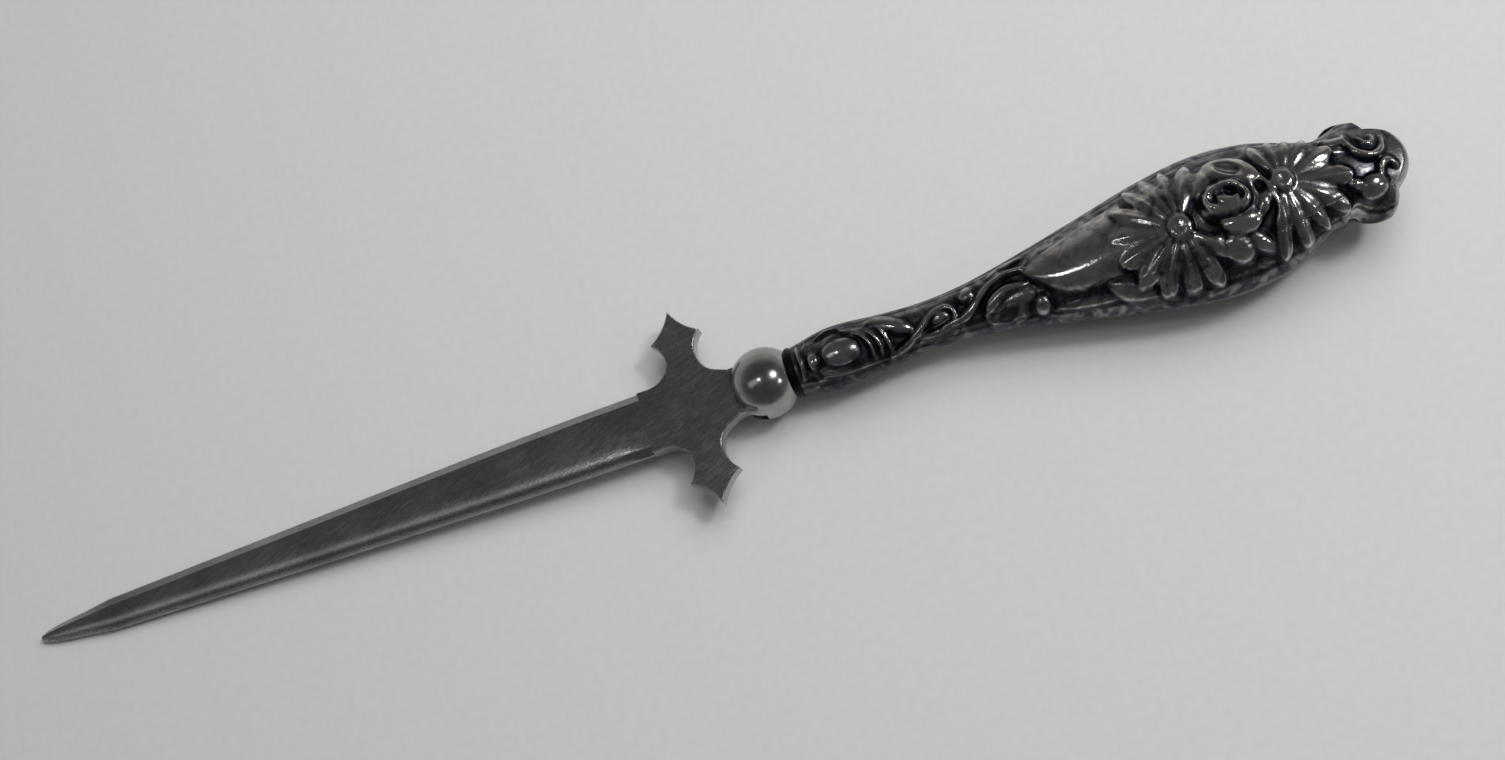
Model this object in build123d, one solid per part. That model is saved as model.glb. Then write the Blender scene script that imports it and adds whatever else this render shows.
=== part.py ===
"""Letter opener: steel blade with cross guard, ball collar and a two-part stamped handle."""
import math
import os

from build123d import *

# Blade, tip at zero, axis along X
blade_length = 88.6
blade_half_width = 4.3
plate_thickness = 2.2
tip_thickness = 1.1
tip_share = 0.0032
edge_thickness = 0.5
bevel_width = 1.1
crown = 0.12

# Cross guard and neck
guard_offset = 6.9
guard_half_span = 13.55
spike_reach = 3.4
spike_side = 9.8
arm_half_width = 2.1
neck_half_width = 3.2
tongue_thickness = 1.9
edge_break = 0.15

# Ball collar
ball_offset = 9.6
ball_radius = 4.7
ball_flat = 3.5
upper_lip = 3.9
lower_lip = 2.9
slot_depth = 3.0

# Tang and fits
tang_half_width = 1.3
tang_thickness = 1.6
tang_length = 34.0
fit_gap = 0.05

# Handle
handle_length = 80.4
handle_half_width = 9.55
front_height = 6.0
back_depth = 7.5
rest_flat = 0.3
wall = 0.5
back_fullness = 0.85
plug_gap = 0.12
plug_end = 4.0
ring_length = 0.9
ring_lap = 0.12
petal_limit = 0.84

# Places along the axis that follow from the sizes
guard_middle = blade_length + guard_offset
ball_middle = guard_middle + ball_offset
slot_end = ball_middle - upper_lip + slot_depth
neck_end = ball_middle - upper_lip - 0.2
ball_end = ball_middle + ball_flat
mouth = ball_end + fit_gap + ring_length
butt = mouth + handle_length

# Handle stations: share of length, of half width, of front height and of back depth
stations = (
    (0.000, 0.340, 0.52, 0.43),
    (0.070, 0.432, 0.63, 0.50),
    (0.150, 0.365, 0.55, 0.43),
    (0.220, 0.325, 0.51, 0.40),
    (0.300, 0.370, 0.54, 0.44),
    (0.390, 0.515, 0.66, 0.56),
    (0.500, 0.722, 0.81, 0.75),
    (0.600, 0.910, 0.94, 0.92),
    (0.695, 1.000, 1.00, 1.00),
    (0.780, 0.910, 0.96, 0.94),
    (0.870, 0.630, 0.78, 0.70),
    (0.930, 0.740, 0.68, 0.58),
    (1.000, 0.740, 0.42, 0.33),
)


def ground_section(x, half_width, thick):
    """Blade section: crowned faces, ground bevels and blunt edges."""
    bevel = min(bevel_width, 0.5 * half_width)
    flat = half_width - bevel
    top = thick / 2
    lip = min(edge_thickness, 0.6 * thick) / 2
    shoulder = top - crown * flat / blade_half_width
    corners = [(flat, shoulder), (half_width, lip), (half_width, -lip), (flat, -shoulder)]
    edges = [Line((x, *corners[k]), (x, *corners[k + 1])) for k in range(3)]
    edges.append(ThreePointArc((x, flat, -shoulder), (x, 0, -top), (x, -flat, -shoulder)))
    mirrored = [(-y, -z) for y, z in corners]
    edges += [Line((x, *mirrored[k]), (x, *mirrored[k + 1])) for k in range(3)]
    edges.append(ThreePointArc((x, -flat, shoulder), (x, 0, top), (x, flat, shoulder)))
    return make_face(edges)


def plate_at(along):
    """Thickness of the blade at a share of its length."""
    return tip_thickness + (plate_thickness - tip_thickness) * min(along, 1) ** 0.6


def make_blade():
    """Tapered blade with a bullet tip, guard, neck and tang in one piece."""
    bullet = [(tip_share * k * k, 0.102 * k ** 0.82) for k in range(1, 6)]
    taper = [(0.12, 0.5), (0.17, 0.535), (0.31, 0.63), (0.45, 0.725)]
    taper += [(0.62, 0.84), (0.78, 0.935), (0.9, 0.985), (1.008, 1)]
    sections = []
    for along, share in bullet + taper:
        sections.append(ground_section(along * blade_length, share * blade_half_width, plate_at(along)))
    ground = loft(sections, ruled=True)

    m = guard_middle
    root = blade_half_width - 0.1
    dent = spike_reach / 2 - 0.3
    dent_side = (spike_side + guard_half_span) / 2 - 0.3
    half = [
        Line((m - guard_offset, 0), (m - guard_offset, root)),
        Line((m - guard_offset, root), (m - 5.8, root)),
        ThreePointArc((m - 5.8, root), (m - 3.3, root + 0.6), (m - arm_half_width, root + 2.0)),
        ThreePointArc((m - arm_half_width, root + 2.0), (m - arm_half_width - 0.15, spike_side - 1.7),
                      (m - spike_reach, spike_side)),
        ThreePointArc((m - spike_reach, spike_side), (m - dent, dent_side), (m, guard_half_span)),
        ThreePointArc((m, guard_half_span), (m + dent, dent_side), (m + spike_reach, spike_side)),
        ThreePointArc((m + spike_reach, spike_side), (m + arm_half_width + 0.15, spike_side - 1.7),
                      (m + arm_half_width, root + 2.0)),
        ThreePointArc((m + arm_half_width, root + 2.0), (m + 2.6, root + 0.7),
                      (m + 4.1, neck_half_width + 0.55)),
        Line((m + 4.1, neck_half_width + 0.55), (neck_end, neck_half_width)),
        Line((neck_end, neck_half_width), (neck_end, 0)),
        Line((neck_end, 0), (m - guard_offset, 0)),
    ]
    face = make_face(half)
    outline = face + mirror(face, about=Plane.XZ)
    plate = extrude(outline, amount=plate_thickness / 2, both=True)
    rims = plate.edges().filter_by(lambda e: abs(abs(e.center().Z) - plate_thickness / 2) < 1e-4)
    rims = rims.filter_by(lambda e: abs(e.center().Y) > spike_side - 3)
    plate = chamfer(rims, edge_break)
    tongue = Pos((neck_end - 0.5 + slot_end - fit_gap) / 2, 0, 0) * Box(
        slot_end - fit_gap - neck_end + 0.5, 2 * neck_half_width, tongue_thickness)
    return ground + plate + tongue + tang_body(0)


def tang_body(grow):
    """Tapered tang, or the pocket for it when grown by a clearance."""
    start = slot_end - 0.6
    end = start + tang_length + grow
    wide = tang_half_width + grow
    narrow = tang_half_width * 0.6 + grow
    tang = Polygon((start, -wide), (end, -narrow), (end, narrow), (start, wide), align=None)
    return extrude(tang, amount=tang_thickness / 2 + grow, both=True)


def make_ball():
    """Ball with a slot for the neck, a shorter lower lip and a flat against the mouth ring."""
    reach = 4 * ball_radius
    block = Box(reach, reach, reach)
    ball = Pos(ball_middle, 0, 0) * Sphere(ball_radius)
    ball = ball - Pos(ball_middle - upper_lip - reach / 2, 0, 0) * block
    ball = ball - Pos(ball_middle - lower_lip - reach / 2, 0, -reach / 2) * block
    ball = ball - Pos(ball_end + reach / 2, 0, 0) * block
    slot = Pos(slot_end - reach / 2, 0, 0) * Box(reach, reach, tongue_thickness + 2 * fit_gap)
    return ball - slot - tang_body(fit_gap)


def make_ring():
    """Narrow rim that closes the handle's mouth."""
    radius = stations[0][1] * handle_half_width + ring_lap
    ring = Pos(ball_end + fit_gap + ring_length / 2, 0, 0) * Rot(0, 90, 0) * Cylinder(radius, ring_length)
    ring = chamfer(ring.edges().filter_by(GeomType.CIRCLE), 0.25 * ring_length)
    return ring - tang_body(fit_gap)


def station_sizes(x):
    """Half width, front height and back depth of the handle at one place."""
    share = min(max((x - mouth) / handle_length, 0), 1)
    k = 0
    while k < len(stations) - 2 and share > stations[k + 1][0]:
        k += 1
    rows = [stations[min(max(k + step, 0), len(stations) - 1)] for step in (-1, 0, 1, 2)]
    span = rows[2][0] - rows[1][0]
    t = (share - rows[1][0]) / span
    sizes = []
    for n in (1, 2, 3):
        rise = (rows[2][n] - rows[0][n]) / (rows[2][0] - rows[0][0]) * span
        fall = (rows[3][n] - rows[1][n]) / (rows[3][0] - rows[1][0]) * span
        step = rows[2][n] - rows[1][n]
        bend = 3 * step - 2 * rise - fall + t * (rise + fall - 2 * step)
        sizes.append(rows[1][n] + t * (rise + t * bend))
    return sizes[0] * handle_half_width, sizes[1] * front_height, sizes[2] * back_depth


def fullness(half_width):
    """Shape of the front section: round at the neck, flatter where the handle is wide."""
    return 1 + 0.6 * min(max((half_width / handle_half_width - 0.4) / 0.5, 0), 1)


def half_section(x, half_width, height, full):
    """Closed half section of the handle, flat along the seam."""
    count = 8
    points = []
    for k in range(count + 1):
        turn = math.pi * k / count
        points.append((x, -half_width * math.cos(turn), height * max(math.sin(turn), 0) ** full))
    return make_face([Spline(*points), Line(points[-1], points[0])])


def butt_plan(inset):
    """Plan of the handle: wide open along its length, with three lobes at the butt."""
    e = butt - inset
    w = handle_half_width - 1.25 * inset
    edges = [
        Line((mouth - 5, -2 * w), (e - 11, -2 * w)),
        Line((e - 11, -2 * w), (e - 9.8, -0.61 * w)),
        ThreePointArc((e - 9.8, -0.61 * w), (e - 9.3, -0.57 * w), (e - 8.6, -0.585 * w)),
        ThreePointArc((e - 8.6, -0.585 * w), (e - 4.0, -0.665 * w), (e - 2.5, -0.36 * w)),
        ThreePointArc((e - 2.5, -0.36 * w), (e - 0.02, -0.08 * w), (e - 1.1, 0.33 * w)),
        ThreePointArc((e - 1.1, 0.33 * w), (e - 2.2, 0.385 * w), (e - 3.7, 0.42 * w)),
        ThreePointArc((e - 3.7, 0.42 * w), (e - 6.2, 0.725 * w), (e - 9.0, 0.645 * w)),
        ThreePointArc((e - 9.0, 0.645 * w), (e - 10.0, 0.62 * w), (e - 11.0, 0.625 * w)),
        Line((e - 11.0, 0.625 * w), (e - 11.6, 2 * w)),
        Line((e - 11.6, 2 * w), (mouth - 5, 2 * w)),
        Line((mouth - 5, 2 * w), (mouth - 5, -2 * w)),
    ]
    return make_face(edges)


def handle_half(front, inset, start):
    """One solid half of the handle, set inward by a thickness."""
    sections = []
    for share, width, tall, deep in stations:
        x = mouth + share * (handle_length - inset)
        if share == 0:
            x = start
        half_width = width * handle_half_width - 1.25 * inset
        if front:
            full = fullness(width * handle_half_width)
            sections.append(half_section(x, half_width, tall * front_height - inset, full))
        else:
            sections.append(half_section(x, half_width, deep * back_depth - inset, back_fullness))
    body = loft(sections) & extrude(butt_plan(inset), amount=2 * front_height)
    return body if front else mirror(body, about=Plane.XY)


def dome(x, y):
    """Height of the plain front above the seam."""
    width, tall, deep = station_sizes(x)
    u = min(abs(y) / width, 0.98)
    return tall * (1 - u * u) ** (fullness(width) / 2)


def boss(along, side, heading, length, width, rise):
    """Plump raised form on the front, laid along its slope."""
    x = mouth + along * handle_length
    y = side * handle_half_width
    step = 0.4
    dx = step * math.cos(math.radians(heading))
    dy = step * math.sin(math.radians(heading))
    pitch = math.degrees(math.atan2(dome(x + dx, y + dy) - dome(x - dx, y - dy), 2 * step))
    radius = width / 2
    straight = length - width
    form = Sphere(radius)
    if straight > 0:
        taper = Cone(radius, 0.3 * radius, radius)
        reach = (straight + radius) / 2
        ends = [Pos(way * reach, 0, 0) * Rot(0, 90 * way, 0) * taper for way in (-1, 1)]
        form = Rot(0, 90, 0) * Cylinder(radius, straight) + ends
    return Pos(x, y, dome(x, y) + rise - radius) * Rot(0, 0, heading) * Rot(0, -pitch, 0) * form


def petal(along, side, heading, root, reach, width, rise):
    """Petal that widens from its root, narrows to a blunt tip and ends short of the rim."""
    x = mouth + along * handle_length
    y = side * handle_half_width
    dx = math.cos(math.radians(heading))
    dy = math.sin(math.radians(heading))
    while abs(y + reach * dy) > petal_limit * station_sizes(x + reach * dx)[0]:
        reach -= 0.1
    length = reach - root
    radius = width / 2
    low = root + 0.2 * length
    high = root + 0.85 * length
    low_z = dome(x + low * dx, y + low * dy) + 0.75 * rise - 0.66 * radius
    high_z = dome(x + high * dx, y + high * dy) + 0.75 * rise - 0.7 * radius
    pitch = math.degrees(math.atan2(high_z - low_z, high - low))
    root_z = low_z - (high_z - low_z) / (high - low) * (low - root)
    wide = 0.6 * length
    body = Pos(0, 0, wide / 2) * Cone(0.48 * radius, radius, wide)
    body += Pos(0, 0, (length + wide) / 2) * Cone(radius, 0.5 * radius, length - wide)
    return Pos(x + root * dx, y + root * dy, root_z) * Rot(0, 0, heading) * Rot(0, 90 - pitch, 0) * body


def daisy(along, side, disc, headings, reach, width):
    """Daisy: a round disc and a fan of petals."""
    forms = [boss(along, side, 0, 2 * disc, 2 * disc, 0.95)]
    for heading in headings:
        forms.append(petal(along, side, heading, 0.8 * disc, reach, width, 0.95))
    return forms


def rose(along, side, reach, count):
    """Rose: a bud, a ring of rolled petals around it, a cupped petal above and three below."""
    forms = [boss(along, side, 20, 2.8, 2.2, 1.65)]
    for k in range(count):
        turn = 20 + 360 * k / count
        dx = reach * math.cos(math.radians(turn)) / handle_length
        dy = reach * math.sin(math.radians(turn)) / handle_half_width
        forms.append(boss(along + dx, side + dy, turn + 75, 3.6, 1.9, 1.35))
    forms.append(boss(along + 0.013, side + 0.31, -20, 6.6, 3.4, 1.2))
    forms.append(petal(along + 0.003, side - 0.23, -55, 0.2, 3.6, 2.8, 1.0))
    forms.append(petal(along - 0.015, side - 0.27, -110, 0.2, 4.6, 2.6, 0.9))
    forms.append(petal(along + 0.025, side - 0.17, -70, 0.2, 4.6, 2.2, 0.9))
    return forms


def scrolls(places, width, rise):
    """Short rods that follow a stem or scroll: along, side, heading and length of each."""
    return [boss(along, side, heading, length, width, rise) for along, side, heading, length in places]


def front_relief():
    """Flower spray in groups, from the calyx and stem to the butt and the three flowers."""
    calyx = [
        boss(0.463, 0.031, 3, 17.0, 7.6, 0.75),
        boss(0.402, -0.346, 0, 2.4, 2.4, 0.95),
        petal(0.512, -0.335, -37, 0.2, 8.6, 2.6, 0.75),
        petal(0.423, -0.440, -8, 0.2, 8.0, 1.6, 0.5),
    ]
    stem = scrolls([(0.354, -0.073, 10, 6.5), (0.351, -0.356, -8, 4.8)], 1.5, 0.7)
    stem += scrolls([(0.179, -0.220, 21, 5.0), (0.231, -0.042, 22, 4.6)], 1.2, 0.65)
    stem += scrolls([(0.229, -0.188, 2, 4.6), (0.294, -0.063, 25, 6.6)], 1.2, 0.65)
    stem.append(boss(0.295, 0.094, 0, 1.9, 1.9, 0.7))
    neck = [
        petal(0.119, 0.157, -22, 0.2, 6.4, 1.8, 0.7),
        boss(0.080, -0.063, -4, 5.2, 3.6, 0.8),
        boss(0.036, -0.042, 0, 1.9, 1.9, 0.6),
    ]
    end = [boss(0.928, -0.335, 12, 3.8, 3.0, 0.9), boss(0.898, 0.356, 24, 3.4, 1.6, 0.7)]
    end += scrolls([(0.919, 0.251, -80, 2.8), (0.943, 0.037, 0, 3.2), (0.960, -0.126, 25, 2.8)], 1.1, 0.7)
    lower = daisy(0.636, -0.094, 1.75, (66, 88, 106, 124, 147, 170, 192, 215, 238, 264, 290), 8.3, 2.6)
    upper = daisy(0.802, 0.052, 1.6, (14, -13, -37, -62, -86, -108), 8.2, 2.5)
    upper += daisy(0.802, 0.052, 1.6, (42, 66, 90, 114), 6.3, 2.1)[1:]
    middle = rose(0.716, 0.052, 2.3, 5)
    middle += scrolls([(0.776, 0.094, -80, 3.6), (0.780, -0.335, -95, 3.6)], 1.2, 0.8)
    return calyx, stem, neck, end, lower, upper, middle


def make_plug():
    """Round plug in the handle's neck that grips the tang."""
    neck = [min(w * handle_half_width - 1.25 * wall, t * front_height - wall, d * back_depth - wall)
            for share, w, t, d in stations[:4]]
    radius = min(neck) - plug_gap
    length = slot_end - 0.6 + tang_length + plug_end - mouth - fit_gap
    plug = Pos(mouth + fit_gap + length / 2, 0, 0) * Rot(0, 90, 0) * Cylinder(radius, length)
    return plug - tang_body(fit_gap)


def lying_slope():
    """Slope of the plane that the tip shares with the worn belly of the handle, or with the ball."""
    tip_x = tip_share * blade_length
    tip_depth = plate_at(tip_share) / 2
    best = (ball_radius - tip_depth) / (ball_middle - tip_x)
    for k in range(30, 90):
        x = mouth + k / 100 * handle_length
        best = max(best, (station_sizes(x)[2] - rest_flat - tip_depth) / (x - tip_x))
    return math.degrees(math.atan(best))


def ground_block():
    """All that lies under the plane that the opener rests on."""
    ground = Pos(tip_share * blade_length, 0, -plate_at(tip_share) / 2) * Rot(0, lying_slope(), 0)
    return ground * Pos(0, 0, -2 * back_depth) * Box(4 * butt, 8 * back_depth, 4 * back_depth)


front = handle_half(True, 0, mouth)
for group in front_relief():
    front = front + group
front = front - Pos(butt / 2, 0, -front_height) * Box(2 * butt, 8 * front_height, 2 * front_height)
front = front - handle_half(True, wall, mouth - 1)
back = handle_half(False, 0, mouth) - ground_block() - handle_half(False, wall, mouth - 1)

nodes = {
    "blade": make_blade(),
    "ball_collar": make_ball(),
    "mouth_ring": make_ring(),
    "front_shell": front,
    "back_shell": back,
    "tang_plug": make_plug(),
}

# Lying pose: tip and belly on the ground, origin under the middle of the whole
tilt = Rot(0, -lying_slope(), 0)
laid = {name: tilt * shape for name, shape in nodes.items()}
boxes = [shape.bounding_box() for shape in laid.values()]
middle_x = (min(b.min.X for b in boxes) + max(b.max.X for b in boxes)) / 2
middle_y = (min(b.min.Y for b in boxes) + max(b.max.Y for b in boxes)) / 2
place = Pos(-middle_x, -middle_y, -min(b.min.Z for b in boxes))
os.makedirs("parts", exist_ok=True)
for name, shape in laid.items():
    export_step(place * shape, f"parts/{name}.step")
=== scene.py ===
"""Letter opener: finishes, chased silver handle, floor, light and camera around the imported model."""
import math

import bpy
import numpy as np
from mathutils import Matrix, Vector


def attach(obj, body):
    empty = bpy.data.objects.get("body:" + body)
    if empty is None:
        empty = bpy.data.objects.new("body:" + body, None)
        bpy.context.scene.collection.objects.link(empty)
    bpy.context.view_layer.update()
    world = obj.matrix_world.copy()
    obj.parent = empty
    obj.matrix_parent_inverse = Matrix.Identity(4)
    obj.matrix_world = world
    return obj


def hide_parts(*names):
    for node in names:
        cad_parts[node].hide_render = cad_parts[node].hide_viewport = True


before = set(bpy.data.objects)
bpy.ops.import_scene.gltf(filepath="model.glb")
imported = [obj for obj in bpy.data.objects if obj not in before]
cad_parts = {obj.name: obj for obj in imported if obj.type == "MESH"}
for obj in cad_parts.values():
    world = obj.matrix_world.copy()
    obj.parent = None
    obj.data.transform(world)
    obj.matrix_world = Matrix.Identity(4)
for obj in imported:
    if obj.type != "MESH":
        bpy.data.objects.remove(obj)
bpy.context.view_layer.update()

# The opener's own frame: tip at zero, axis along X, plate level, in millimetres
lying_slope = math.radians(2.30635)
tip_place = (-95.078, 0.0, 0.556)

# Where the tip touches the floor: along the axis and up from it
tip_touch = (0.2835, -0.5675)

# Handle sizes, in millimetres
mouth = 109.55
handle_length = 80.4
side_run = handle_length + 2.0
handle_half_width = 9.55
front_height = 6.0
back_depth = 7.5
shell_wall = 0.5
side_inset = 1.25
front_roll = 1.0
back_roll = 1.2
back_fullness = 0.85
butt_start = 12.0
butt_run = 4.0
neck_end = 36.0
neck_run = 8.0

# Handle stations: share of length, of half width, of front height and of back depth
stations = (
    (0.000, 0.340, 0.52, 0.43),
    (0.070, 0.432, 0.63, 0.50),
    (0.150, 0.365, 0.55, 0.43),
    (0.220, 0.325, 0.51, 0.40),
    (0.300, 0.370, 0.54, 0.44),
    (0.390, 0.515, 0.66, 0.56),
    (0.500, 0.722, 0.81, 0.75),
    (0.600, 0.910, 0.94, 0.92),
    (0.695, 1.000, 1.00, 1.00),
    (0.780, 0.910, 0.96, 0.94),
    (0.870, 0.630, 0.78, 0.70),
    (0.930, 0.740, 0.68, 0.58),
    (1.000, 0.740, 0.42, 0.33),
)

# Daisies: heading, reach and width of each petal
lower_daisy = (51.1, -0.9)
lower_petals = (
    (66, 8.2, 3.0), (88, 8.2, 2.3), (106, 8.6, 2.5), (124, 8.8, 2.6),
    (147, 8.6, 2.9), (170, 8.6, 3.3), (192, 8.4, 3.2), (214, 8.3, 3.0),
    (238, 8.2, 2.9), (264, 8.0, 2.9), (290, 8.2, 2.8), (314, 7.0, 2.2),
)
upper_daisy = (64.5, 0.5)
upper_petals = (
    (16, 7.2, 3.0), (-12, 8.6, 2.9), (-37, 8.6, 2.9), (-62, 7.4, 2.5), (-86, 8.4, 2.6),
    (-108, 9.2, 2.5), (42, 5.8, 2.4), (66, 5.2, 2.2), (90, 5.6, 2.2), (114, 6.0, 2.2),
)

# Wear of the silver, from black at 0 to bare metal at 1, with painted shade on steep sides
ground_wear = 0.32
crown_wear = 0.24
raised_wear = 0.14
raised_full = 0.8
wide_wear = 0.6
recess_wear = 2.4
ridge_wear = 0.5
neck_tarnish = 0.07
# Painted shade: how much darker the steep sides of the relief are made
steep_shade = 0.50
gentle_slope = 0.20
inner_wear = 0.3


def lay(points):
    """Places points of the opener's own frame in the scene, in metres."""
    c, s = math.cos(lying_slope), math.sin(lying_slope)
    x = points[:, 0] * c - points[:, 2] * s + tip_place[0]
    z = points[:, 0] * s + points[:, 2] * c + tip_place[2]
    return np.stack((x, points[:, 1] + tip_place[1], z), 1) / 1000


def turn(direction):
    """Turns a direction of the opener's own frame into the scene."""
    c, s = math.cos(lying_slope), math.sin(lying_slope)
    x, y, z = direction
    return Vector((x * c - z * s, y, x * s + z * c))


def new_piece(name):
    """Names the object that an operator has just made."""
    piece = bpy.context.object
    piece.name = name
    piece.data.name = name
    return piece


def read_points(mesh):
    """All points of a mesh as rows."""
    flat = np.empty(len(mesh.vertices) * 3)
    mesh.vertices.foreach_get("co", flat)
    return flat.reshape(-1, 3)


def write_points(mesh, points):
    """Moves all points of a mesh."""
    mesh.vertices.foreach_set("co", np.ascontiguousarray(points, dtype=np.float32).ravel())
    mesh.update()


def grid_piece(name, along, across):
    """A flat grid, with each point's share along and across as tables of rows across."""
    bpy.ops.object.select_all(action="DESELECT")
    bpy.ops.mesh.primitive_grid_add(x_subdivisions=along, y_subdivisions=across, size=2)
    piece = new_piece(name)
    points = read_points(piece.data)
    shape = (across + 1, along + 1)
    return piece, ((points[:, 0] + 1) / 2).reshape(shape), ((points[:, 1] + 1) / 2).reshape(shape)


# Plan of the handle

def station_sizes(x):
    """Half width, front height and back depth along the handle, smooth through the stations."""
    table = np.array(stations)
    share = np.clip((x - mouth) / handle_length, 0, 1)
    k = np.clip(np.searchsorted(table[:, 0], share, side="right") - 1, 0, len(table) - 2)
    before = np.maximum(k - 1, 0)
    after = np.minimum(k + 2, len(table) - 1)
    span = table[k + 1, 0] - table[k, 0]
    t = (share - table[k, 0]) / span
    sizes = []
    for n, full in ((1, handle_half_width), (2, front_height), (3, back_depth)):
        rise = (table[k + 1, n] - table[before, n]) / (table[k + 1, 0] - table[before, 0]) * span
        fall = (table[after, n] - table[k, n]) / (table[after, 0] - table[k, 0]) * span
        step = table[k + 1, n] - table[k, n]
        bend = 3 * step - 2 * rise - fall + t * (rise + fall - 2 * step)
        sizes.append((table[k, n] + t * (rise + t * bend)) * full)
    return sizes


def arc_points(a, b, c, count):
    """Points along the circle's arc from a through b to c."""
    ax, ay, bx, by, cx, cy = *a, *b, *c
    d = 2 * (ax * (by - cy) + bx * (cy - ay) + cx * (ay - by))
    aa, bb, cc = ax * ax + ay * ay, bx * bx + by * by, cx * cx + cy * cy
    ux = (aa * (by - cy) + bb * (cy - ay) + cc * (ay - by)) / d
    uy = (aa * (cx - bx) + bb * (ax - cx) + cc * (bx - ax)) / d
    radius = math.hypot(ax - ux, ay - uy)
    first = math.atan2(ay - uy, ax - ux)
    middle = (math.atan2(by - uy, bx - ux) - first) % math.tau
    last = (math.atan2(cy - uy, cx - ux) - first) % math.tau
    if middle > last:
        last -= math.tau
    angles = [first + last * k / count for k in range(count + 1)]
    return [(ux + radius * math.cos(angle), uy + radius * math.sin(angle)) for angle in angles]


def even(points, count):
    """The same line with evenly spaced points."""
    points = np.array(points)
    run = np.concatenate(([0], np.cumsum(np.hypot(*np.diff(points, axis=0).T))))
    at = np.linspace(0, run[-1], count)
    return np.stack((np.interp(at, run, points[:, 0]), np.interp(at, run, points[:, 1])), 1)


def butt_lobes(inset):
    """Near side, end and far side of the scalloped butt."""
    e = mouth + handle_length - inset
    w = handle_half_width - side_inset * inset
    near_waist = arc_points((e - 9.8, -0.61 * w), (e - 9.3, -0.57 * w), (e - 8.6, -0.585 * w), 12)
    near_lobe = arc_points((e - 8.6, -0.585 * w), (e - 4.0, -0.665 * w), (e - 2.5, -0.36 * w), 40)
    end_lobe = arc_points((e - 2.5, -0.36 * w), (e - 0.02, -0.08 * w), (e - 1.1, 0.33 * w), 40)
    end_notch = arc_points((e - 1.1, 0.33 * w), (e - 2.2, 0.385 * w), (e - 3.7, 0.42 * w), 12)
    far_lobe = arc_points((e - 3.7, 0.42 * w), (e - 6.2, 0.725 * w), (e - 9.0, 0.645 * w), 40)
    far_waist = arc_points((e - 9.0, 0.645 * w), (e - 10.0, 0.62 * w), (e - 11.0, 0.625 * w), 12)
    near = near_waist[:-1] + near_lobe[:24]
    end = near_lobe[23:] + end_lobe[1:] + end_notch[1:] + far_lobe[1:15]
    far = far_lobe[14:] + far_waist[1:]
    return near, end, far[::-1]


def handle_plan(s, t, inset):
    """Plan place of each grid point, filled in between the four sides of the outline."""
    near_end, end, far_end = butt_lobes(inset)
    butt_gap = 0.6
    x = np.linspace(mouth, near_end[0][0] - butt_gap, 200)
    near = [(u, -v) for u, v in zip(x, station_sizes(x)[0] - side_inset * inset)] + near_end
    x = np.linspace(mouth, far_end[0][0] - butt_gap, 200)
    far = list(zip(x, station_sizes(x)[0] - side_inset * inset)) + far_end
    count = 1200
    near, far, end = even(near, count), even(far, count), even(end, count)
    shares = np.linspace(0, 1, count)

    def along(line, share):
        """Places at shares of a line's run."""
        return np.stack((np.interp(share, shares, line[:, 0]), np.interp(share, shares, line[:, 1])), -1)

    s1, t1 = s[..., None], t[..., None]
    start = (1 - t1) * near[0] + t1 * far[0]
    sides = (1 - t1) * along(near, s) + t1 * along(far, s)
    ends = (1 - s1) * start + s1 * along(end, t)
    corners = (1 - s1) * start + s1 * ((1 - t1) * near[-1] + t1 * far[-1])
    return sides + ends - corners


def shell_height(s, t, plan, inset, tall, full, roll):
    """Height of a plain half: domed across, with a small roll along the scalloped butt."""
    width = station_sizes(plan[..., 0])[0] - side_inset * inset
    u = 2 * t - 1
    across = np.clip(np.abs(plan[..., 1]) / width, 0, 1)
    near_butt = np.clip((plan[..., 0] - mouth - handle_length + butt_start) / butt_run, 0, 1)
    near_butt = near_butt * near_butt * (3 - 2 * near_butt)
    across = near_butt * across + (1 - near_butt) * np.abs(u)
    end_gap = (1 - s) * side_run
    side_gap = (1 - np.abs(u)) * width
    gap = np.clip(np.minimum(end_gap, side_gap) / roll, 0, 1)
    rolled = np.sqrt(1 - (1 - gap) ** 2)
    end_roll = np.clip(end_gap / roll, 0, 1)
    rolled = near_butt * rolled + (1 - near_butt) * np.sqrt(1 - (1 - end_roll) ** 2)
    return (tall - inset) * np.maximum(1 - across * across, 0) ** (full / 2) * rolled


def spread(s, t):
    """Closer grid lines at the seam and at the butt's end."""
    knee, place = 0.93, 0.968
    late = place + (1 - place) * np.sin(np.clip((s - knee) / (1 - knee), 0, 1) * math.pi / 2)
    return np.where(s < knee, s * place / knee, late), (1 - np.cos(t * math.pi)) / 2


def front_base(s, t, inset):
    """Plain front of the handle before it is chased, fuller where the handle is wide."""
    plan = handle_plan(s, t, inset)
    width, tall = station_sizes(plan[..., 0])[:2]
    full = 1 + 0.6 * np.clip((width / handle_half_width - 0.4) / 0.5, 0, 1)
    z = shell_height(s, t, plan, inset, tall, full, front_roll)
    return np.stack((plan[..., 0], plan[..., 1], z), -1)


def back_base(s, t, inset):
    """Plain back of the handle, worn flat where it lies."""
    plan = handle_plan(s, t, inset)
    deep = station_sizes(plan[..., 0])[2]
    z = -shell_height(s, t, plan, inset, deep, back_fullness, back_roll)
    rest = tip_touch[1] - math.tan(lying_slope) * (plan[..., 0] - tip_touch[0])
    return np.stack((plan[..., 0], plan[..., 1], np.maximum(z, rest + inset)), -1)


# Chasing of the silver: each tool raises or cuts the field of heights over the plan

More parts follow.
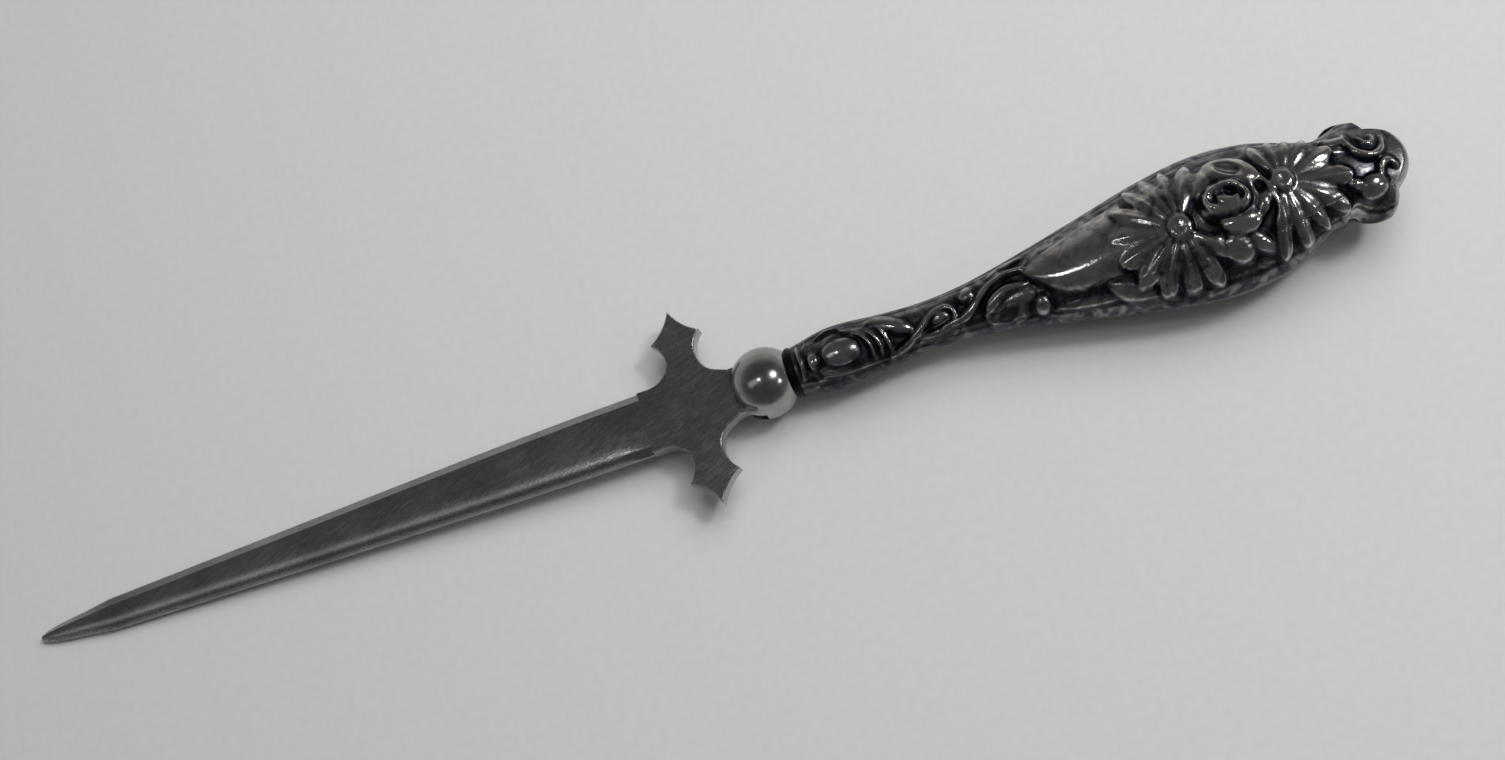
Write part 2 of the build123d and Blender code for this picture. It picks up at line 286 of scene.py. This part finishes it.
class Chasing:
    """Heights raised over a plain half, at places from the mouth and from the axis."""

    def __init__(self, along, across):
        self.a = along
        self.b = across
        self.height = np.zeros_like(along)
        # Lightening of the colour: bare metal, and painted reflection on some patches
        self.bare_and_reflection = np.zeros_like(along)

    def local(self, a, b, heading):
        """Places along and across a heading, from one place."""
        c, s = math.cos(math.radians(heading)), math.sin(math.radians(heading))
        return (self.a - a) * c + (self.b - b) * s, (self.b - b) * c - (self.a - a) * s

    def round_share(self, a, b, heading, length, width):
        """Zero in the middle of an oval, one on its edge."""
        p, q = self.local(a, b, heading)
        return (p / length * 2) ** 2 + (q / width * 2) ** 2

    def raise_to(self, form):
        """Raises the field to a form that stands higher."""
        self.height = np.maximum(self.height, form)

    def brighten_oval(self, a, b, heading, length, width, much):
        """Lightens the colour over an oval, for bare metal and for painted reflection."""
        self.bare_and_reflection += much * np.exp(-self.round_share(a, b, heading, length, width) ** 2)

    def boss(self, a, b, heading, length, width, rise, power=0.5):
        """Raises an oval boss."""
        r = self.round_share(a, b, heading, length, width)
        self.raise_to(rise * np.maximum(1 - r, 0) ** power)

    def dimple(self, a, b, heading, length, width, depth):
        """Sinks an oval."""
        r = self.round_share(a, b, heading, length, width)
        self.height = self.height - depth * np.maximum(1 - r, 0) ** 0.7

    def petal(self, a, b, heading, start, reach, width, rise):
        """Raises a petal with a round end and two creases."""
        shoulder, root_share, lift = 0.72, 0.40, 0.5
        p, q = self.local(a, b, heading)
        p = (p - start) / (reach - start)
        inside = (p > 0) & (p < 1)
        p = np.clip(p, 0, 1)
        half = root_share + (1 - root_share) * np.sin(np.minimum(p / shoulder, 1) * math.pi / 2)
        round_end = np.maximum(p - shoulder, 0) / (1 - shoulder)
        half = width / 2 * half * np.sqrt(np.maximum(1 - round_end ** 2, 1e-6))
        v = q / half
        form = np.maximum(1 - v * v, 0) ** 0.6
        form = form - 0.28 * np.exp(-((np.abs(v) - 0.36) / 0.16) ** 2) * (1 - p) ** 0.5
        lengthwise = lift + (1 - lift) * np.sin(np.minimum(p * 1.25, 1) * math.pi / 2)
        self.raise_to(np.where(inside & (np.abs(v) < 1), rise * form * lengthwise, 0))

    def trumpet(self, low, high, ridge, rise, rest):
        """Raises a flaring calyx between two lines, with a ridge and a flatter far side."""
        low, high = smooth_line(low), smooth_line(high)
        first, last = low[0, 0], low[-1, 0]
        lower = np.interp(self.a, low[:, 0], low[:, 1])
        upper = np.interp(self.a, high[:, 0], high[:, 1])
        v = (self.b - lower) / np.maximum(upper - lower, 0.01)
        inside = (self.a > first) & (self.a < last) & (v > 0) & (v < 1)
        v = np.clip(v, 0, 1)
        climb = np.sin(np.minimum(v / ridge, 1) * math.pi / 2)
        fall = np.clip((v - ridge) / (1 - ridge), 0, 1) ** 1.6
        ends = np.clip((self.a - first) / 3.0, 0, 1) ** 0.5
        ends = ends * (1 - 0.45 * np.clip((self.a - first - 7.0) / 8.0, 0, 1) ** 2)
        self.raise_to(np.where(inside, rise * climb * (1 - (1 - rest) * fall) * ends, 0))

    def line_gaps(self, points, margin):
        """Which places lie near a line, their gaps to it and their shares along it."""
        line = smooth_line(points)
        lowest, highest = line.min(0) - margin, line.max(0) + margin
        near = (self.a > lowest[0]) & (self.a < highest[0])
        near &= (self.b > lowest[1]) & (self.b < highest[1])
        pa, pb = self.a[near], self.b[near]
        best = np.full(pa.shape, 1e9)
        at = np.zeros(pa.shape)
        for k in range(len(line) - 1):
            u = line[k]
            d = line[k + 1] - u
            f = np.clip(((pa - u[0]) * d[0] + (pb - u[1]) * d[1]) / (d @ d), 0, 1)
            gap = np.hypot(pa - u[0] - f * d[0], pb - u[1] - f * d[1])
            at = np.where(gap < best, (k + f) / (len(line) - 1), at)
            best = np.minimum(best, gap)
        return near, best, at

    def stroke(self, points, width, rise, taper=0.5, ground=0.0):
        """Raises a rounded line, thinner at its ends."""
        near, gap, at = self.line_gaps(points, width)
        thin = 1 - taper + taper * np.sin(np.clip(at, 0, 1) * math.pi) ** 0.7
        form = np.maximum(1 - (gap / (width / 2 * thin)) ** 2, 0) ** 0.5
        raised = np.where(form > 0, ground + rise * form * thin, 0)
        self.height[near] = np.maximum(self.height[near], raised)

    def cut(self, points, width, depth):
        """Cuts a soft line."""
        near, gap = self.line_gaps(points, 2 * width)[:2]
        self.height[near] -= depth * np.exp(-(gap / (width / 2)) ** 2)


def smooth_line(points):
    """A smooth line through a few points."""
    points = np.array(points, dtype=float)
    if len(points) == 2:
        return points
    padded = np.vstack((2 * points[0] - points[1], points, 2 * points[-1] - points[-2]))
    line = []
    for k in range(len(points) - 1):
        p0, p1, p2, p3 = padded[k:k + 4]
        for f in np.linspace(0, 1, 7)[:-1]:
            line.append(0.5 * (2 * p1 + (p2 - p0) * f + (2 * p0 - 5 * p1 + 4 * p2 - p3) * f ** 2
                               + (3 * p1 - p0 - 3 * p2 + p3) * f ** 3))
    line.append(points[-1])
    return np.array(line)


def daisy_disc(work, place, radius):
    """Stippled disc with a sunk middle."""
    a, b = place
    r = np.hypot(work.a - a, work.b - b) / radius
    form = np.maximum(1 - r ** 4, 0) ** 0.5 - 0.3 * np.exp(-(r / 0.5) ** 2)
    turn_at = np.arctan2(work.b - b, work.a - a)
    dots = np.cos(r * 13) * np.cos(turn_at * 9 + r * 5)
    work.raise_to(np.where(r < 1, form + 0.07 * dots, 0))


def chase_flowers(work):
    """The spray: two daisies and a rose."""
    for heading, reach, width in lower_petals:
        work.petal(*lower_daisy, heading, 1.5, reach, width, 1.0)
    for heading, reach, width in upper_petals:
        work.petal(*upper_daisy, heading, 1.4, reach, width, 0.95)
    chase_rose(work)
    daisy_disc(work, lower_daisy, 1.75)
    daisy_disc(work, upper_daisy, 1.6)


def oval(a, b, heading, length, width, first, sweep):
    """Points along a part of an oval."""
    points = []
    c, s = math.cos(math.radians(heading)), math.sin(math.radians(heading))
    for k in range(9):
        angle = math.radians(first + sweep * k / 8)
        p, q = length / 2 * math.cos(angle), width / 2 * math.sin(angle)
        points.append((a + p * c - q * s, b + p * s + q * c))
    return points


def chase_rose(work):
    """Rose: leaves below, outer petals, a rolled top petal with an opening and a coiled heart."""
    work.boss(54.5, -4.2, 20, 2.8, 2.3, 0.8)
    work.boss(56.9, -5.4, -35, 4.4, 3.6, 1.05)
    work.stroke([(58.0, -4.4), (59.8, -5.6), (61.4, -7.2)], 2.4, 0.9, 0.9)
    work.stroke([(62.5, 0.2), (61.6, -1.4), (60.4, -3.2)], 2.0, 0.95, 0.9)
    work.stroke([(62.1, 2.2), (62.8, 0.0), (63.1, -2.4), (62.5, -5.0)], 1.0, 0.9)
    work.boss(55.5, 3.2, 60, 5.0, 3.4, 0.95)
    work.boss(58.2, -2.7, -8, 5.4, 3.2, 1.1, 0.35)
    work.boss(59.0, 3.5, -30, 7.6, 4.3, 1.25, 0.4)
    work.dimple(58.9, 3.8, -33, 3.8, 1.5, 0.7)
    work.boss(57.7, 0.1, -4, 7.6, 5.2, 1.3, 0.4)
    work.cut(oval(57.6, 0.2, -8, 6.3, 3.9, 0, 360), 0.55, 0.35)
    work.stroke(oval(57.4, 0.4, -10, 5.2, 3.0, 150, 250), 1.0, 0.5, 0.6, 1.2)
    work.stroke(oval(57.5, 0.4, -10, 5.0, 3.0, 20, 140), 1.0, 0.55, 0.6, 1.2)
    work.cut(oval(57.7, 0.5, -12, 3.3, 1.8, 0, 360), 0.5, 0.4)
    work.stroke(oval(57.6, 0.4, -15, 2.4, 1.2, 160, 230), 0.8, 0.5, 0.5, 1.2)
    work.dimple(58.2, 1.0, -20, 1.7, 0.9, 0.8)


def chase_calyx(work):
    """Calyx with its leaves and the bead below it."""
    low = [(31.0, 0.9), (32.2, -0.8), (33.8, -2.2), (36.2, -3.5), (39.5, -4.0), (42.6, -3.7), (45.4, -4.2)]
    high = [(31.0, 1.3), (33.3, 2.3), (37.0, 3.4), (42.3, 4.9), (45.4, 5.8)]
    work.trumpet(low, high, 0.34, 1.0, 0.35)
    work.stroke([(40.4, -3.8), (43.4, -5.9), (47.2, -8.0)], 2.6, 0.8, 0.9)
    work.stroke([(33.8, -4.3), (37.5, -4.9), (41.8, -5.8)], 1.5, 0.5, 0.9)
    work.boss(32.3, -3.3, 0, 2.6, 2.4, 1.0)
    work.boss(32.6, -5.2, 20, 2.0, 1.5, 0.55)


def chase_stem(work):
    """Curled leaf and twisted stem."""
    work.boss(28.6, -2.4, 8, 6.6, 4.0, 0.45)
    work.dimple(28.0, -2.8, 14, 3.2, 1.7, 0.5)
    work.stroke([(25.2, -2.3), (26.4, -1.2), (28.6, -0.3), (31.4, -0.5)], 1.7, 0.95, 0.7)
    work.stroke([(25.2, -2.5), (26.6, -3.9), (28.6, -4.5), (31.2, -4.4)], 1.1, 0.65, 0.6)
    loop = [(12.2, -2.8), (14.6, -2.2), (16.6, -1.2), (18.8, 0.1), (20.6, 0.4), (21.6, -0.4), (21.4, -1.6)]
    work.stroke(loop, 1.15, 0.8, 0.3)
    work.stroke([(18.0, -1.1), (19.6, -0.5), (21.2, -0.8)], 1.5, 0.6, 0.9)
    twist = [(16.2, -1.8), (18.6, -2.0), (20.6, -1.7), (22.4, -1.5), (24.2, -0.7), (26.4, 0.8),
             (28.8, 1.6), (31.4, 1.6)]
    work.stroke(twist, 1.3, 0.85, 0.4)
    work.boss(23.7, 0.9, 20, 2.6, 2.1, 0.8)
    work.stroke([(26.6, 2.2), (29.0, 2.8), (32.0, 3.4)], 1.3, 0.5, 0.8)


def chase_neck(work):
    """Framed stone at the neck, with a leaf and three ribs."""
    work.stroke([(9.2, 1.9), (12.0, 1.3), (14.6, -0.1), (16.4, -1.0)], 2.2, 0.9, 0.9)
    work.boss(6.4, -0.6, -4, 5.4, 3.7, 0.9)
    work.boss(2.7, -0.6, 0, 1.8, 2.4, 0.7)
    for k in range(3):
        reach = 9.3 + 1.15 * k
        rib = [(reach - 2.4, 2.1 - 0.2 * k), (reach, 0.7), (reach + 0.9, -1.0), (reach + 0.9, -2.5)]
        work.stroke(rib, 0.85, 0.55)
    work.stroke([(3.4, -2.6), (6.0, -2.95), (9.0, -2.9), (11.8, -2.8)], 0.7, 0.5)
    work.stroke([(3.4, 2.1), (5.4, 2.6), (7.6, 2.4)], 0.7, 0.45)
    work.stroke([(0.9, 2.2), (1.1, 0.0), (0.9, -2.2)], 0.8, 0.4)


def chase_butt(work):
    """Scrolls and boss of the scalloped butt."""
    work.boss(74.7, -3.4, 12, 4.0, 3.1, 0.95)
    work.stroke([(71.6, -2.2), (72.8, -2.6), (73.8, -3.2)], 1.6, 0.75, 0.8)
    work.stroke([(73.4, 3.9), (73.8, 1.6), (75.4, 0.3), (77.0, 0.7), (77.8, 2.2)], 1.2, 0.85)
    work.stroke([(75.0, 3.2), (75.6, 2.1), (76.5, 2.0), (76.8, 2.9)], 0.8, 0.5)
    work.stroke([(76.0, -2.6), (76.4, -1.2), (77.4, -0.8), (78.3, -1.7)], 1.1, 0.85)
    work.stroke([(70.4, 4.6), (71.6, 3.4), (73.2, 3.2), (73.6, 4.2)], 1.6, 0.8, 0.7)
    work.stroke([(70.0, 2.9), (71.4, 2.1), (73.0, 1.9)], 0.8, 0.5)


def chase_border(work, u):
    """Plain rim along the seam with a sunk line inside it, and a raised line along the neck."""
    neck_line = 0.16 * np.exp(-((np.abs(u) - 0.76) / 0.035) ** 2)
    work.raise_to(neck_line * np.clip((34 - work.a) / 4, 0, 1))
    rim = np.clip((0.94 - np.abs(u)) / 0.09, 0, 1)
    work.height = work.height * rim * rim * (3 - 2 * rim)
    work.height -= 0.12 * np.exp(-((np.abs(u) - 0.87) / 0.022) ** 2)


def bright_and_reflection_patches(work):
    """Bright patches: places that handling keeps bright, with painted reflection on flat facets."""
    work.brighten_oval(53.9, -0.7, 20, 1.6, 1.2, 0.30)
    work.brighten_oval(62.0, 1.9, -60, 2.2, 0.9, 0.30)
    work.brighten_oval(46.6, -5.6, 0, 1.8, 1.2, 0.30)
    work.brighten_oval(58.2, -3.0, -8, 3.8, 1.8, 0.35)
    work.brighten_oval(58.9, 3.8, -33, 3.0, 1.2, 0.35)
    work.brighten_oval(72.2, -5.2, 10, 3.6, 1.6, 0.35)
    # Painted highlight along the calyx ridge, over bare metal
    work.brighten_oval(38.0, -1.2, 3, 9.0, 2.4, 0.18)


def chase_front(work, u):
    """All ornament of the front half."""
    chase_calyx(work)
    chase_stem(work)
    chase_neck(work)
    chase_flowers(work)
    chase_butt(work)
    bright_and_reflection_patches(work)
    chase_border(work, u)


# Shells of the handle

def blur(field, along, across):
    """Soft copy of a field, over as many grid cells to each side."""
    for axis, reach in ((0, across), (1, along)):
        pad = [(0, 0), (0, 0)]
        pad[axis] = (reach + 1, reach)
        total = np.cumsum(np.pad(field, pad, mode="edge"), axis=axis)
        size = field.shape[axis]
        high = np.take(total, range(2 * reach + 1, 2 * reach + 1 + size), axis=axis)
        low = np.take(total, range(0, size), axis=axis)
        field = (high - low) / (2 * reach + 1)
    return field


def outer_face(piece, s, t, base, chase):
    """Shapes the chased outer face and gives each point its level of wear, with painted shade and painted
    reflection mixed in.
    """
    points = base(s, t, 0.0)
    work = Chasing(points[..., 0] - mouth, points[..., 1])
    chase(work, 2 * t - 1)
    end_fade = np.minimum(1, np.minimum(s, 1 - s) * 90)
    neck = np.clip((neck_end - work.a) / neck_run, 0, 1)
    raised = work.height * end_fade
    raised = (1 - neck) * blur(raised, 1, 2) + neck * blur(raised, 1, 4)
    edge = (np.minimum(t, 1 - t) < 1e-6) | (s > 1 - 1e-6)
    raised = np.where(edge, 0, raised)
    du = np.gradient(points, axis=1)
    dv = np.gradient(points, axis=0)
    normal = np.cross(du, dv)
    normal /= np.maximum(np.linalg.norm(normal, axis=-1, keepdims=True), 1e-9)
    write_points(piece.data, lay((points + normal * raised[..., None]).reshape(-1, 3)))

    wide = raised - blur(blur(raised, 5, 5), 5, 5)
    fine = raised - blur(blur(raised, 2, 2), 2, 2)
    along_slope = np.gradient(raised, axis=1) / np.maximum(np.linalg.norm(du, axis=-1), 1e-6)
    across_slope = np.gradient(raised, axis=0) / np.maximum(np.linalg.norm(dv, axis=-1), 1e-6)
    steep = np.hypot(along_slope, across_slope)
    crown = 1 - (2 * t - 1) ** 2
    wear_and_painted_light = ground_wear + crown_wear * crown + raised_wear * np.clip(raised / raised_full, 0, 1)
    # The bright patches add bare metal and painted reflection
    wear_and_painted_light += wide_wear * wide + np.where(fine < 0, recess_wear, ridge_wear) * fine + work.bare_and_reflection
    # Steep sides made darker: painted shade
    wear_and_painted_light -= neck_tarnish * neck + steep_shade * np.clip(steep - gentle_slope, 0, 1)
    return np.clip(wear_and_painted_light, 0, 1).ravel()


def shell_piece(name, base, chase, along, across, flip):
    """A closed stamped half: chased outer face, plain inner face and the rim between them."""
    piece, s, t = grid_piece(name, along, across)
    wear_and_painted_light = outer_face(piece, *spread(s, 1 - t if flip else t), base, chase)

    inner, s, t = grid_piece(name + "_inner", 60, 24)
    s, t = spread(s, t if flip else 1 - t)
    write_points(inner.data, lay(base(s, t, shell_wall).reshape(-1, 3)))

    bpy.ops.object.select_all(action="DESELECT")
    inner.select_set(True)
    piece.select_set(True)
    bpy.context.view_layer.objects.active = piece
    bpy.ops.object.join()
    bpy.ops.object.mode_set(mode="EDIT")
    bpy.ops.mesh.select_all(action="DESELECT")
    bpy.ops.mesh.select_mode(type="EDGE")
    bpy.ops.mesh.select_non_manifold()
    bpy.ops.mesh.bridge_edge_loops()
    bpy.ops.object.mode_set(mode="OBJECT")

    values = np.full(len(piece.data.vertices), inner_wear)
    values[:len(wear_and_painted_light)] = wear_and_painted_light
    layer = piece.data.attributes.new("wear_and_painted_light", "FLOAT", "POINT")
    layer.data.foreach_set("value", values.astype(np.float32))
    bpy.ops.object.shade_smooth()
    return piece


# Finishes

def finish(name, metallic):
    """A new node finish with its shader and its place in the object."""
    material = bpy.data.materials.new(name)
    material.use_nodes = True
    nodes = material.node_tree.nodes
    shader = nodes["Principled BSDF"]
    shader.inputs["Metallic"].default_value = metallic
    place = nodes.new("ShaderNodeTexCoord").outputs["Object"]
    return material, nodes, material.node_tree.links, shader, place


def noise(nodes, links, place, scale, detail):
    """Cloudy noise."""
    texture = nodes.new("ShaderNodeTexNoise")
    texture.inputs["Scale"].default_value = scale
    texture.inputs["Detail"].default_value = detail
    links.new(place, texture.inputs["Vector"])
    return texture


def tones(nodes, links, level, target, stops):
    """Colours by level, from stops of place and colour."""
    ramp = nodes.new("ShaderNodeValToRGB")
    elements = ramp.color_ramp.elements
    for element, (place, colour) in zip(elements, (stops[0], stops[-1])):
        element.position = place
        element.color = (*colour, 1)
    for place, colour in stops[1:-1]:
        elements.new(place).color = (*colour, 1)
    links.new(level, ramp.inputs["Fac"])
    links.new(ramp.outputs["Color"], target)


def remap(nodes, links, level, target, start, stop):
    """Value that runs from one pair of level and value to another."""
    change = nodes.new("ShaderNodeMapRange")
    change.inputs["From Min"].default_value, change.inputs["To Min"].default_value = start
    change.inputs["From Max"].default_value, change.inputs["To Max"].default_value = stop
    links.new(level, change.inputs["Value"])
    links.new(change.outputs["Result"], target)


def bumps(nodes, links, height, shader, strength, distance):
    """Fine unevenness of the surface."""
    bump = nodes.new("ShaderNodeBump")
    bump.inputs["Strength"].default_value = strength
    bump.inputs["Distance"].default_value = distance
    links.new(height, bump.inputs["Height"])
    links.new(bump.outputs["Normal"], shader.inputs["Normal"])
    return bump


def tarnished_silver():
    """Silver, black in the recesses and bright on the rubbed high places, with painted shade on steep sides
    and painted reflection on bright patches.
    """
    material, nodes, links, shader, place = finish("tarnished_silver", 1.0)
    wear_and_painted_light = nodes.new("ShaderNodeAttribute")
    wear_and_painted_light.attribute_name = "wear_and_painted_light"
    cloud = noise(nodes, links, place, 420, 8)
    cloud.inputs["Distortion"].default_value = 1.5
    spots = nodes.new("ShaderNodeMath")
    spots.operation = "SUBTRACT"
    links.new(cloud.outputs["Fac"], spots.inputs[0])
    spots.inputs[1].default_value = 0.5
    level = nodes.new("ShaderNodeMath")
    level.operation = "ADD"
    links.new(spots.outputs[0], level.inputs[0])
    links.new(wear_and_painted_light.outputs["Fac"], level.inputs[1])
    tones(nodes, links, level.outputs[0], shader.inputs["Base Color"], (
        (0.10, (0.014, 0.015, 0.021)),
        (0.34, (0.070, 0.072, 0.083)),
        (0.60, (0.33, 0.321, 0.321)),
        (0.90, (0.62, 0.59, 0.56)),
    ))
    remap(nodes, links, level.outputs[0], shader.inputs["Roughness"], (0.1, 0.42), (0.8, 0.13))
    pits = noise(nodes, links, place, 2600, 4)
    bumps(nodes, links, pits.outputs["Fac"], shader, 0.12, 0.0002)
    return material


def scratches(nodes, links, place, angle, fineness, stretch):
    """Long fine marks at an angle to the blade's axis."""
    slant = nodes.new("ShaderNodeMapping")
    slant.vector_type = "TEXTURE"
    slant.inputs["Rotation"].default_value = (0, 0, math.radians(angle))
    slant.inputs["Scale"].default_value = (stretch / fineness, 1 / fineness, 1 / fineness)
    links.new(place, slant.inputs["Vector"])
    return noise(nodes, links, slant.outputs["Vector"], 1.0, 3).outputs["Fac"]


def rubbed_edges(nodes, links, place):
    """Normal with softened edges, well rounded along the blade's near side."""
    guard_start, blade_end = -0.0075, -0.0110
    far_of_axis, near_of_axis = 0.0004, -0.0006
    parts = nodes.new("ShaderNodeSeparateXYZ")
    links.new(place, parts.inputs["Vector"])
    share = nodes.new("ShaderNodeMath")
    share.operation = "MULTIPLY"
    remap(nodes, links, parts.outputs["X"], share.inputs[0], (guard_start, 0), (blade_end, 1))
    remap(nodes, links, parts.outputs["Y"], share.inputs[1], (far_of_axis, 0), (near_of_axis, 1))
    edges = nodes.new("ShaderNodeMix")
    edges.data_type = "VECTOR"
    links.new(share.outputs[0], edges.inputs[0])
    for socket, radius in ((4, 0.0002), (5, 0.0017)):
        soft_edge = nodes.new("ShaderNodeBevel")
        soft_edge.samples = 12
        soft_edge.inputs["Radius"].default_value = radius
        links.new(soft_edge.outputs["Normal"], edges.inputs[socket])
    return edges.outputs[1]


def worn_steel():
    """Dark steel with fine slanting scratches."""
    material, nodes, links, shader, place = finish("worn_steel", 1.0)
    add = nodes.new("ShaderNodeMath")
    add.operation = "ADD"
    links.new(scratches(nodes, links, place, 26, 9500, 60), add.inputs[0])
    links.new(scratches(nodes, links, place, 38, 7000, 50), add.inputs[1])
    dull_marks = scratches(nodes, links, place, 20, 9000, 80)
    cloud = noise(nodes, links, place, 150, 5)
    tones(nodes, links, cloud.outputs["Fac"], shader.inputs["Base Color"], (
        (0.30, (0.30, 0.29, 0.296)),
        (0.75, (0.46, 0.445, 0.45)),
    ))
    remap(nodes, links, dull_marks, shader.inputs["Roughness"], (0.45, 0.20), (0.75, 0.38))
    bump = bumps(nodes, links, add.outputs[0], shader, 0.12, 0.00005)
    links.new(rubbed_edges(nodes, links, place), bump.inputs["Normal"])
    return material


def polished_steel():
    """Bright polished steel with faint wiping marks."""
    material, nodes, links, shader, place = finish("polished_steel", 1.0)
    marks = noise(nodes, links, place, 700, 6).outputs["Fac"]
    tones(nodes, links, marks, shader.inputs["Base Color"], (
        (0.0, (0.255, 0.252, 0.246)),
        (1.0, (0.48, 0.472, 0.455)),
    ))
    remap(nodes, links, marks, shader.inputs["Roughness"], (0.0, 0.10), (1.0, 0.28))
    return material


def setting_cement():
    """Dull brown cement with a fine grain."""
    material, nodes, links, shader, place = finish("setting_cement", 0.0)
    shader.inputs["Roughness"].default_value = 0.9
    grain = noise(nodes, links, place, 1500, 2)
    tones(nodes, links, grain.outputs["Fac"], shader.inputs["Base Color"], (
        (0.0, (0.10, 0.08, 0.06)),
        (1.0, (0.22, 0.18, 0.14)),
    ))
    return material


def pale_paper():
    """Pale paper with a faint grain."""
    material, nodes, links, shader, place = finish("paper", 0.0)
    shader.inputs["Roughness"].default_value = 0.85
    grain = noise(nodes, links, place, 900, 5)
    tones(nodes, links, grain.outputs["Fac"], shader.inputs["Base Color"], (
        (0.0, (0.60, 0.597, 0.59)),
        (1.0, (0.66, 0.657, 0.65)),
    ))
    return material


def give(piece, material):
    """Puts one finish on the whole piece."""
    piece.data.materials.clear()
    piece.data.materials.append(material)


silver = tarnished_silver()
give(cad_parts["blade"], worn_steel())
give(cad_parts["ball_collar"], polished_steel())
give(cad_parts["mouth_ring"], silver)
give(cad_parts["tang_plug"], setting_cement())

front = shell_piece("chased_front", front_base, chase_front, 520, 180, False)
back = shell_piece("plain_back", back_base, chase_border, 300, 100, True)
for piece, node in ((front, "front_shell"), (back, "back_shell")):
    give(piece, silver)
    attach(piece, "root")
    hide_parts(node)


# Floor, light and camera

bpy.ops.object.select_all(action="DESELECT")
bpy.ops.mesh.primitive_plane_add(size=6)
floor = new_piece("paper_floor")
give(floor, pale_paper())


def soft_light():
    """Sky that is dark overhead and on the near side, and pale low down on the far side."""
    world = bpy.data.worlds.new("studio")
    bpy.context.scene.world = world
    world.use_nodes = True
    nodes, links = world.node_tree.nodes, world.node_tree.links
    parts = nodes.new("ShaderNodeSeparateXYZ")
    links.new(nodes.new("ShaderNodeTexCoord").outputs["Generated"], parts.inputs["Vector"])
    level = nodes.new("ShaderNodeMath")
    level.operation = "MULTIPLY_ADD"
    links.new(parts.outputs["Y"], level.inputs[0])
    level.inputs[1].default_value = -0.25
    links.new(parts.outputs["Z"], level.inputs[2])
    tones(nodes, links, level.outputs[0], nodes["Background"].inputs["Color"], (
        (0.0, (0.42, 0.41, 0.395)),
        (0.30, (0.15, 0.1478, 0.1485)),
        (0.55, (0.092, 0.0906, 0.0911)),
        (1.0, (0.08, 0.079, 0.081)),
    ))


def lamp(name, direction, distance, size, power, length=None):
    """Square or long lamp that faces the opener's middle."""
    middle = Vector((0.02, 0, 0.005))
    way = turn(direction).normalized()
    bpy.ops.object.light_add(type="AREA", location=middle + way * distance)
    light = bpy.context.object
    light.name = name
    light.data.name = name
    light.data.shape = "RECTANGLE"
    light.data.size = size
    light.data.size_y = length or size
    light.data.energy = power
    light.rotation_euler = way.to_track_quat("Z", "Y").to_euler()
    return light


soft_light()

# The ceiling lights the paper and isn't mirrored; the lamps stand where the photograph's glints ask for them
ceiling = lamp("ceiling", (0.42, 0.30, 0.86), 0.50, 0.45, 2.0)
ceiling.visible_glossy = False
lamp("lamp", (0.62, 0.06, 0.78), 0.9, 0.13, 1.8)
lamp("left_lamp", (-0.17, -0.02, 0.985), 0.9, 0.06, 0.22)
lamp("strip_lamp", (-0.50, -0.06, 0.86), 0.9, 0.24, 0.19, 0.5)
lamp("side_lamp", (0.80, -0.31, 0.52), 0.9, 0.10, 0.3)

# The photograph's camera: focal length and width in pixels, place and axes in the opener's own frame
focal_pixels = 2000
frame_pixels = 1505
camera_place = (136.81, -81.16, 243.43)
camera_right = (0.9345, -0.2785, -0.2214)
camera_up = (0.3319, 0.9066, 0.2607)


def photo_camera():
    """Camera at the photograph's place."""
    data = bpy.data.cameras.new("camera")
    camera = bpy.data.objects.new("camera", data)
    bpy.context.scene.collection.objects.link(camera)
    data.sensor_fit = "HORIZONTAL"
    data.sensor_width = 36
    data.lens = data.sensor_width * focal_pixels / frame_pixels
    data.clip_start = 0.01
    up = turn(camera_up)
    backward = turn(camera_right).cross(up).normalized()
    right = up.cross(backward).normalized()
    up = backward.cross(right)
    turned = Matrix((right, up, backward)).transposed().to_4x4()
    camera.matrix_world = Matrix.Translation(lay(np.array([camera_place]))[0]) @ turned
    bpy.context.scene.camera = camera


photo_camera()
bpy.context.scene.view_settings.view_transform = "Standard"
